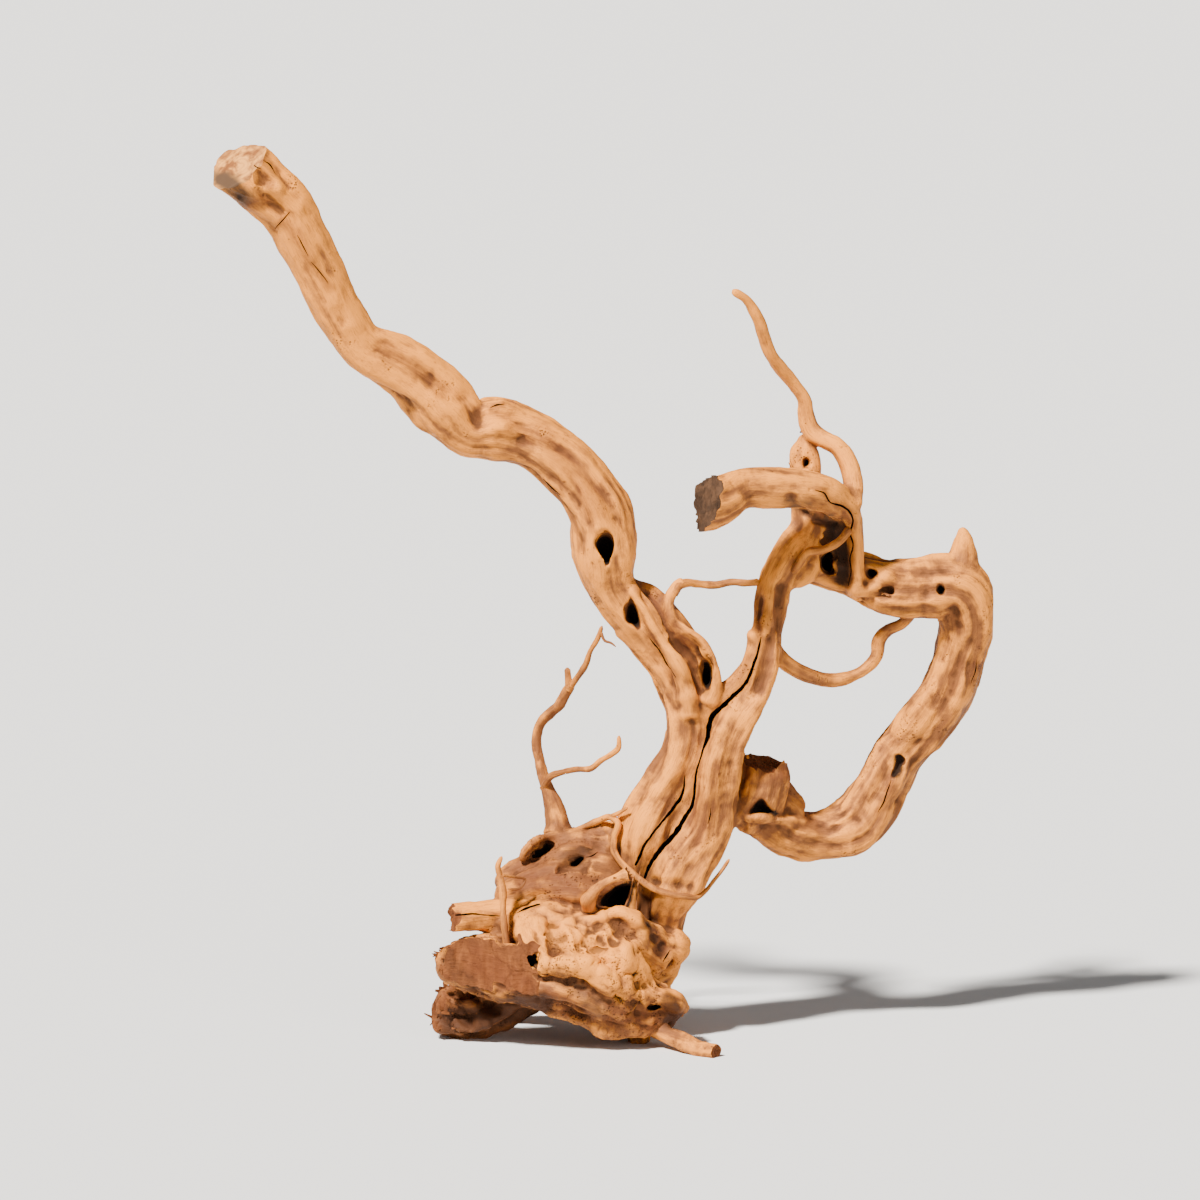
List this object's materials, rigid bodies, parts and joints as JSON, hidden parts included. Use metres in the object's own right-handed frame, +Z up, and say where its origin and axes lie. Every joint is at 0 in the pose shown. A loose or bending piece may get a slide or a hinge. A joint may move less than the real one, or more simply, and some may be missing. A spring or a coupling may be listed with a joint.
{
  "type": "aquarium driftwood root",
  "caption": "Gnarled driftwood root with a forked trunk, a long sawn arm, a looped limb grown back into the fork, a hollowed crown on spread feet, drying cracks and fine rootlets.",
  "frame": {"origin": "on the ground, under the middle of the outline seen from above", "axes": "+Z up as it stands, -Y towards the side with the cracks and the broken crook, +X towards the looped limb"},
  "size_m": [0.3874, 0.1518, 0.4582],
  "materials": {
    "wood": "dry, bleached, unsealed"
  },
  "bodies": {
    "root": {"driftwood_root": "wood"}
  },
  "joints": []
}
